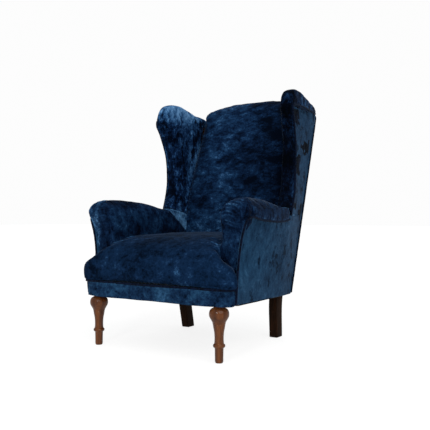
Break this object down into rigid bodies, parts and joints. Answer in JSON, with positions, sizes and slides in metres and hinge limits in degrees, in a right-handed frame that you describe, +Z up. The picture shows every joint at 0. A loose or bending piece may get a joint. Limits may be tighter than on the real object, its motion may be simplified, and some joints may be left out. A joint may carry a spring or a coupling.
{
  "type": "wing armchair",
  "caption": "High-back wing armchair with a domed tight seat, scrolled arms, piped seams, turned front legs and raked square back legs, covered in crushed velvet",
  "frame": {"origin": "on the floor at the middle of the chair's footprint: the middle of the whole chair's width and depth, at the feet's undersides", "axes": "+Z up; the sitter faces -Y; +X is the sitter's left"},
  "size_m": [0.785, 0.8559, 1.0772],
  "materials": {
    "leg_walnut": "satin walnut stain",
    "post_stained_beech": "dark satin stain",
    "frame_beech": "planed, raw",
    "steel_fixings": "zinc plated",
    "velvet_cover": "crushed velvet, navy blue",
    "velvet_panel": "crushed velvet, navy blue, stretched flat",
    "piping_cloth": "velvet covered cord, dark navy",
    "stuffing": "wadding and fibre",
    "dust_cambric": "black non-woven lining",
    "jute_webbing": "woven jute strap",
    "hessian": "plain woven jute",
    "spring_steel": "coppered spring wire"
  },
  "bodies": {
    "root": {"back_cover": "velvet_cover", "back_piping": "piping_cloth", "back_seat_rail": "frame_beech", "back_stuffing": "stuffing", "back_tacking_rail": "frame_beech", "back_webbing_level": "jute_webbing", "back_webbing_upright": "jute_webbing", "corner_block_screws": "steel_fixings", "crest_rail": "frame_beech", "dust_cover": "dust_cambric", "dust_cover_tacks": "steel_fixings", "front_border": "velvet_cover", "front_seat_rail": "frame_beech", "left_arm_cover": "velvet_cover", "left_arm_piping": "piping_cloth", "left_arm_rail": "frame_beech", "left_arm_stuffing": "stuffing", "left_arm_stump": "frame_beech", "left_arm_tacking_rail": "frame_beech", "left_back_corner_block": "frame_beech", "left_back_post": "post_stained_beech", "left_front_corner_block": "frame_beech", "left_front_leg": "leg_walnut", "left_outside_panel": "velvet_panel", "left_seat_rail": "frame_beech", "left_wing_cover": "velvet_cover", "left_wing_piping": "piping_cloth", "left_wing_post": "frame_beech", "left_wing_rail": "frame_beech", "left_wing_stuffing": "stuffing", "outside_back_panel": "velvet_panel", "right_arm_cover": "velvet_cover", "right_arm_piping": "piping_cloth", "right_arm_rail": "frame_beech", "right_arm_stuffing": "stuffing", "right_arm_stump": "frame_beech", "right_arm_tacking_rail": "frame_beech", "right_back_corner_block": "frame_beech", "right_back_post": "post_stained_beech", "right_front_corner_block": "frame_beech", "right_front_leg": "leg_walnut", "right_outside_panel": "velvet_panel", "right_seat_rail": "frame_beech", "right_wing_cover": "velvet_cover", "right_wing_piping": "piping_cloth", "right_wing_post": "frame_beech", "right_wing_rail": "frame_beech", "right_wing_stuffing": "stuffing", "seat_cover": "velvet_cover", "seat_hessian": "hessian", "seat_piping": "piping_cloth", "seat_springs": "spring_steel", "seat_stuffing": "stuffing", "seat_webbing_crosswise": "jute_webbing", "seat_webbing_lengthwise": "jute_webbing"}
  },
  "joints": []
}
